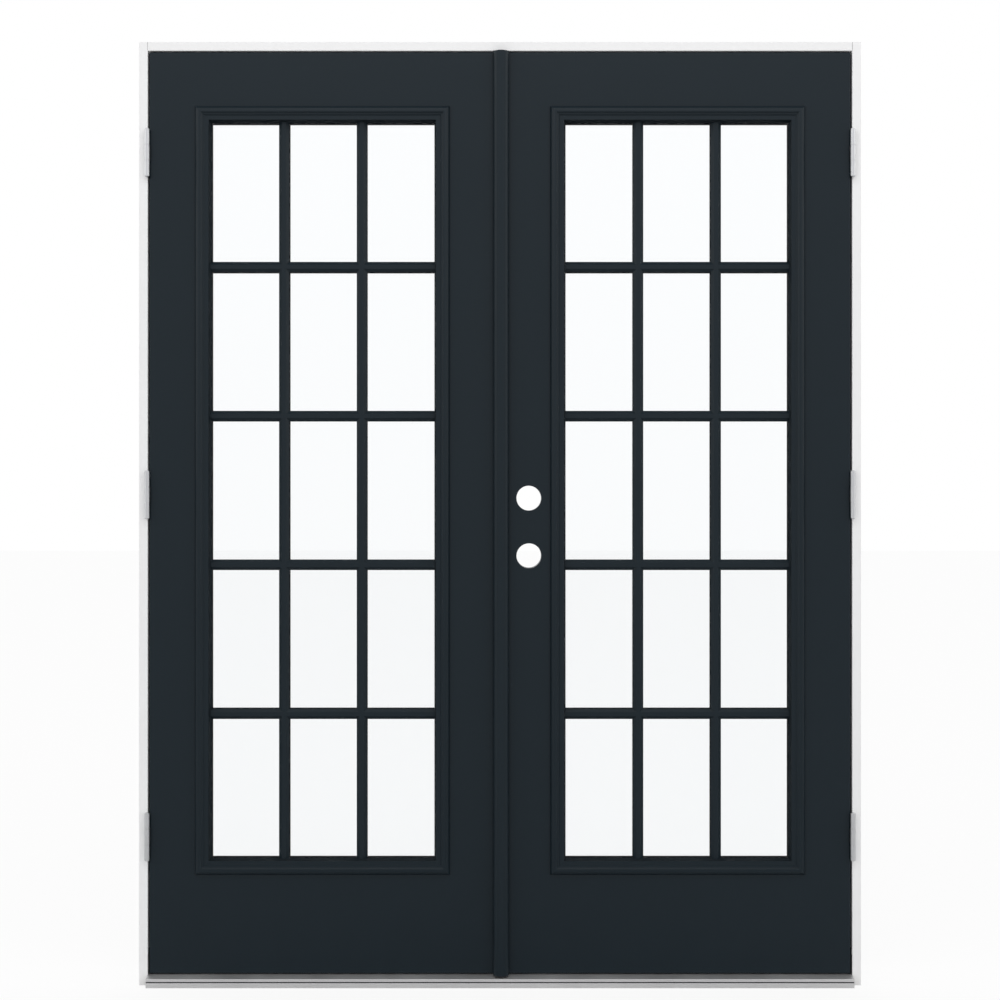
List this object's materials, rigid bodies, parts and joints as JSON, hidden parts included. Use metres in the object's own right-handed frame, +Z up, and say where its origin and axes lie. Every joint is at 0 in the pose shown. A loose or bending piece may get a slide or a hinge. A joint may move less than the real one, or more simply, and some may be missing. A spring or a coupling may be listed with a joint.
{
  "type": "french doors",
  "caption": "Outward-opening pair of full-lite doors with glazing bars, hung in a rebated frame with a metal sill and an astragal over the meeting edges.",
  "frame": {"origin": "on the underside of the sill, on the centre line and in the plane of the leaves' outside face", "axes": "+X to the right seen from outside, +Y into the building, +Z up"},
  "size_m": [1.5622, 0.137, 2.04],
  "materials": {
    "leaf_paint": "smooth moulded skin with dark blue-grey satin paint",
    "trim_paint": "moulded plastic with dark blue-grey satin paint",
    "stile_wood": "laminated wood, edges painted to match the skins",
    "foam": "rigid foam, hidden",
    "glass": "clear float glass",
    "spacer": "black spacer bar",
    "frame_paint": "primed and painted white wood, smooth satin",
    "seal": "soft foam-filled vinyl, matte",
    "hinge_steel": "satin nickel plated steel",
    "sill_aluminium": "mill finish extrusion with fine lengthways grain",
    "sill_composite": "solid composite, hidden"
  },
  "bodies": {
    "frame": {"left_jamb": "frame_paint", "right_jamb": "frame_paint", "head_jamb": "frame_paint", "sill_cap": "sill_aluminium", "sill_core": "sill_composite", "left_weatherstrip": "seal", "right_weatherstrip": "seal", "head_weatherstrip": "seal", "sill_weatherstrip": "seal", "frame_hinge_leaves": "hinge_steel", "bolt_strikes": "hinge_steel"},
    "left_leaf": {"left_outer_skin": "leaf_paint", "left_inner_skin": "leaf_paint", "left_hinge_stile": "stile_wood", "left_lock_stile": "stile_wood", "left_top_rail": "stile_wood", "left_bottom_rail": "stile_wood", "left_foam_core": "foam", "left_bottom_sweep": "seal", "left_hinge_leaves": "hinge_steel", "left_outer_lite_frame": "trim_paint", "left_inner_lite_frame": "trim_paint", "left_outer_grille": "trim_paint", "left_inner_grille": "trim_paint", "left_outer_glass": "glass", "left_inner_glass": "glass", "left_glass_spacer": "spacer", "left_bolt_plates": "hinge_steel"},
    "right_leaf": {"right_outer_skin": "leaf_paint", "right_inner_skin": "leaf_paint", "right_hinge_stile": "stile_wood", "right_lock_stile": "stile_wood", "right_top_rail": "stile_wood", "right_bottom_rail": "stile_wood", "right_foam_core": "foam", "right_bottom_sweep": "seal", "right_hinge_leaves": "hinge_steel", "right_outer_lite_frame": "trim_paint", "right_inner_lite_frame": "trim_paint", "right_outer_grille": "trim_paint", "right_inner_grille": "trim_paint", "right_outer_glass": "glass", "right_inner_glass": "glass", "right_glass_spacer": "spacer", "right_astragal_moulding": "trim_paint", "right_astragal_seal": "seal", "right_astragal_pad": "seal"},
    "top_bolt": {"top_bolt": "hinge_steel"},
    "bottom_bolt": {"bottom_bolt": "hinge_steel"}
  },
  "joints": [
    {"name": "left_leaf_hinge", "type": "hinge", "parent": "frame", "child": "left_leaf", "pos_m": [-0.7617, -0.007, 1.061], "axis": [0, 0, -1], "range_deg": [0, 120]},
    {"name": "right_leaf_hinge", "type": "hinge", "parent": "frame", "child": "right_leaf", "pos_m": [0.7617, -0.007, 1.061], "axis": [0, 0, 1], "range_deg": [0, 120]},
    {"name": "top_bolt_slide", "type": "slide", "parent": "left_leaf", "child": "top_bolt", "axis": [0, 0, 1], "range_m": [0, 0.014]},
    {"name": "bottom_bolt_slide", "type": "slide", "parent": "left_leaf", "child": "bottom_bolt", "axis": [0, 0, -1], "range_m": [0, 0.014]}
  ]
}
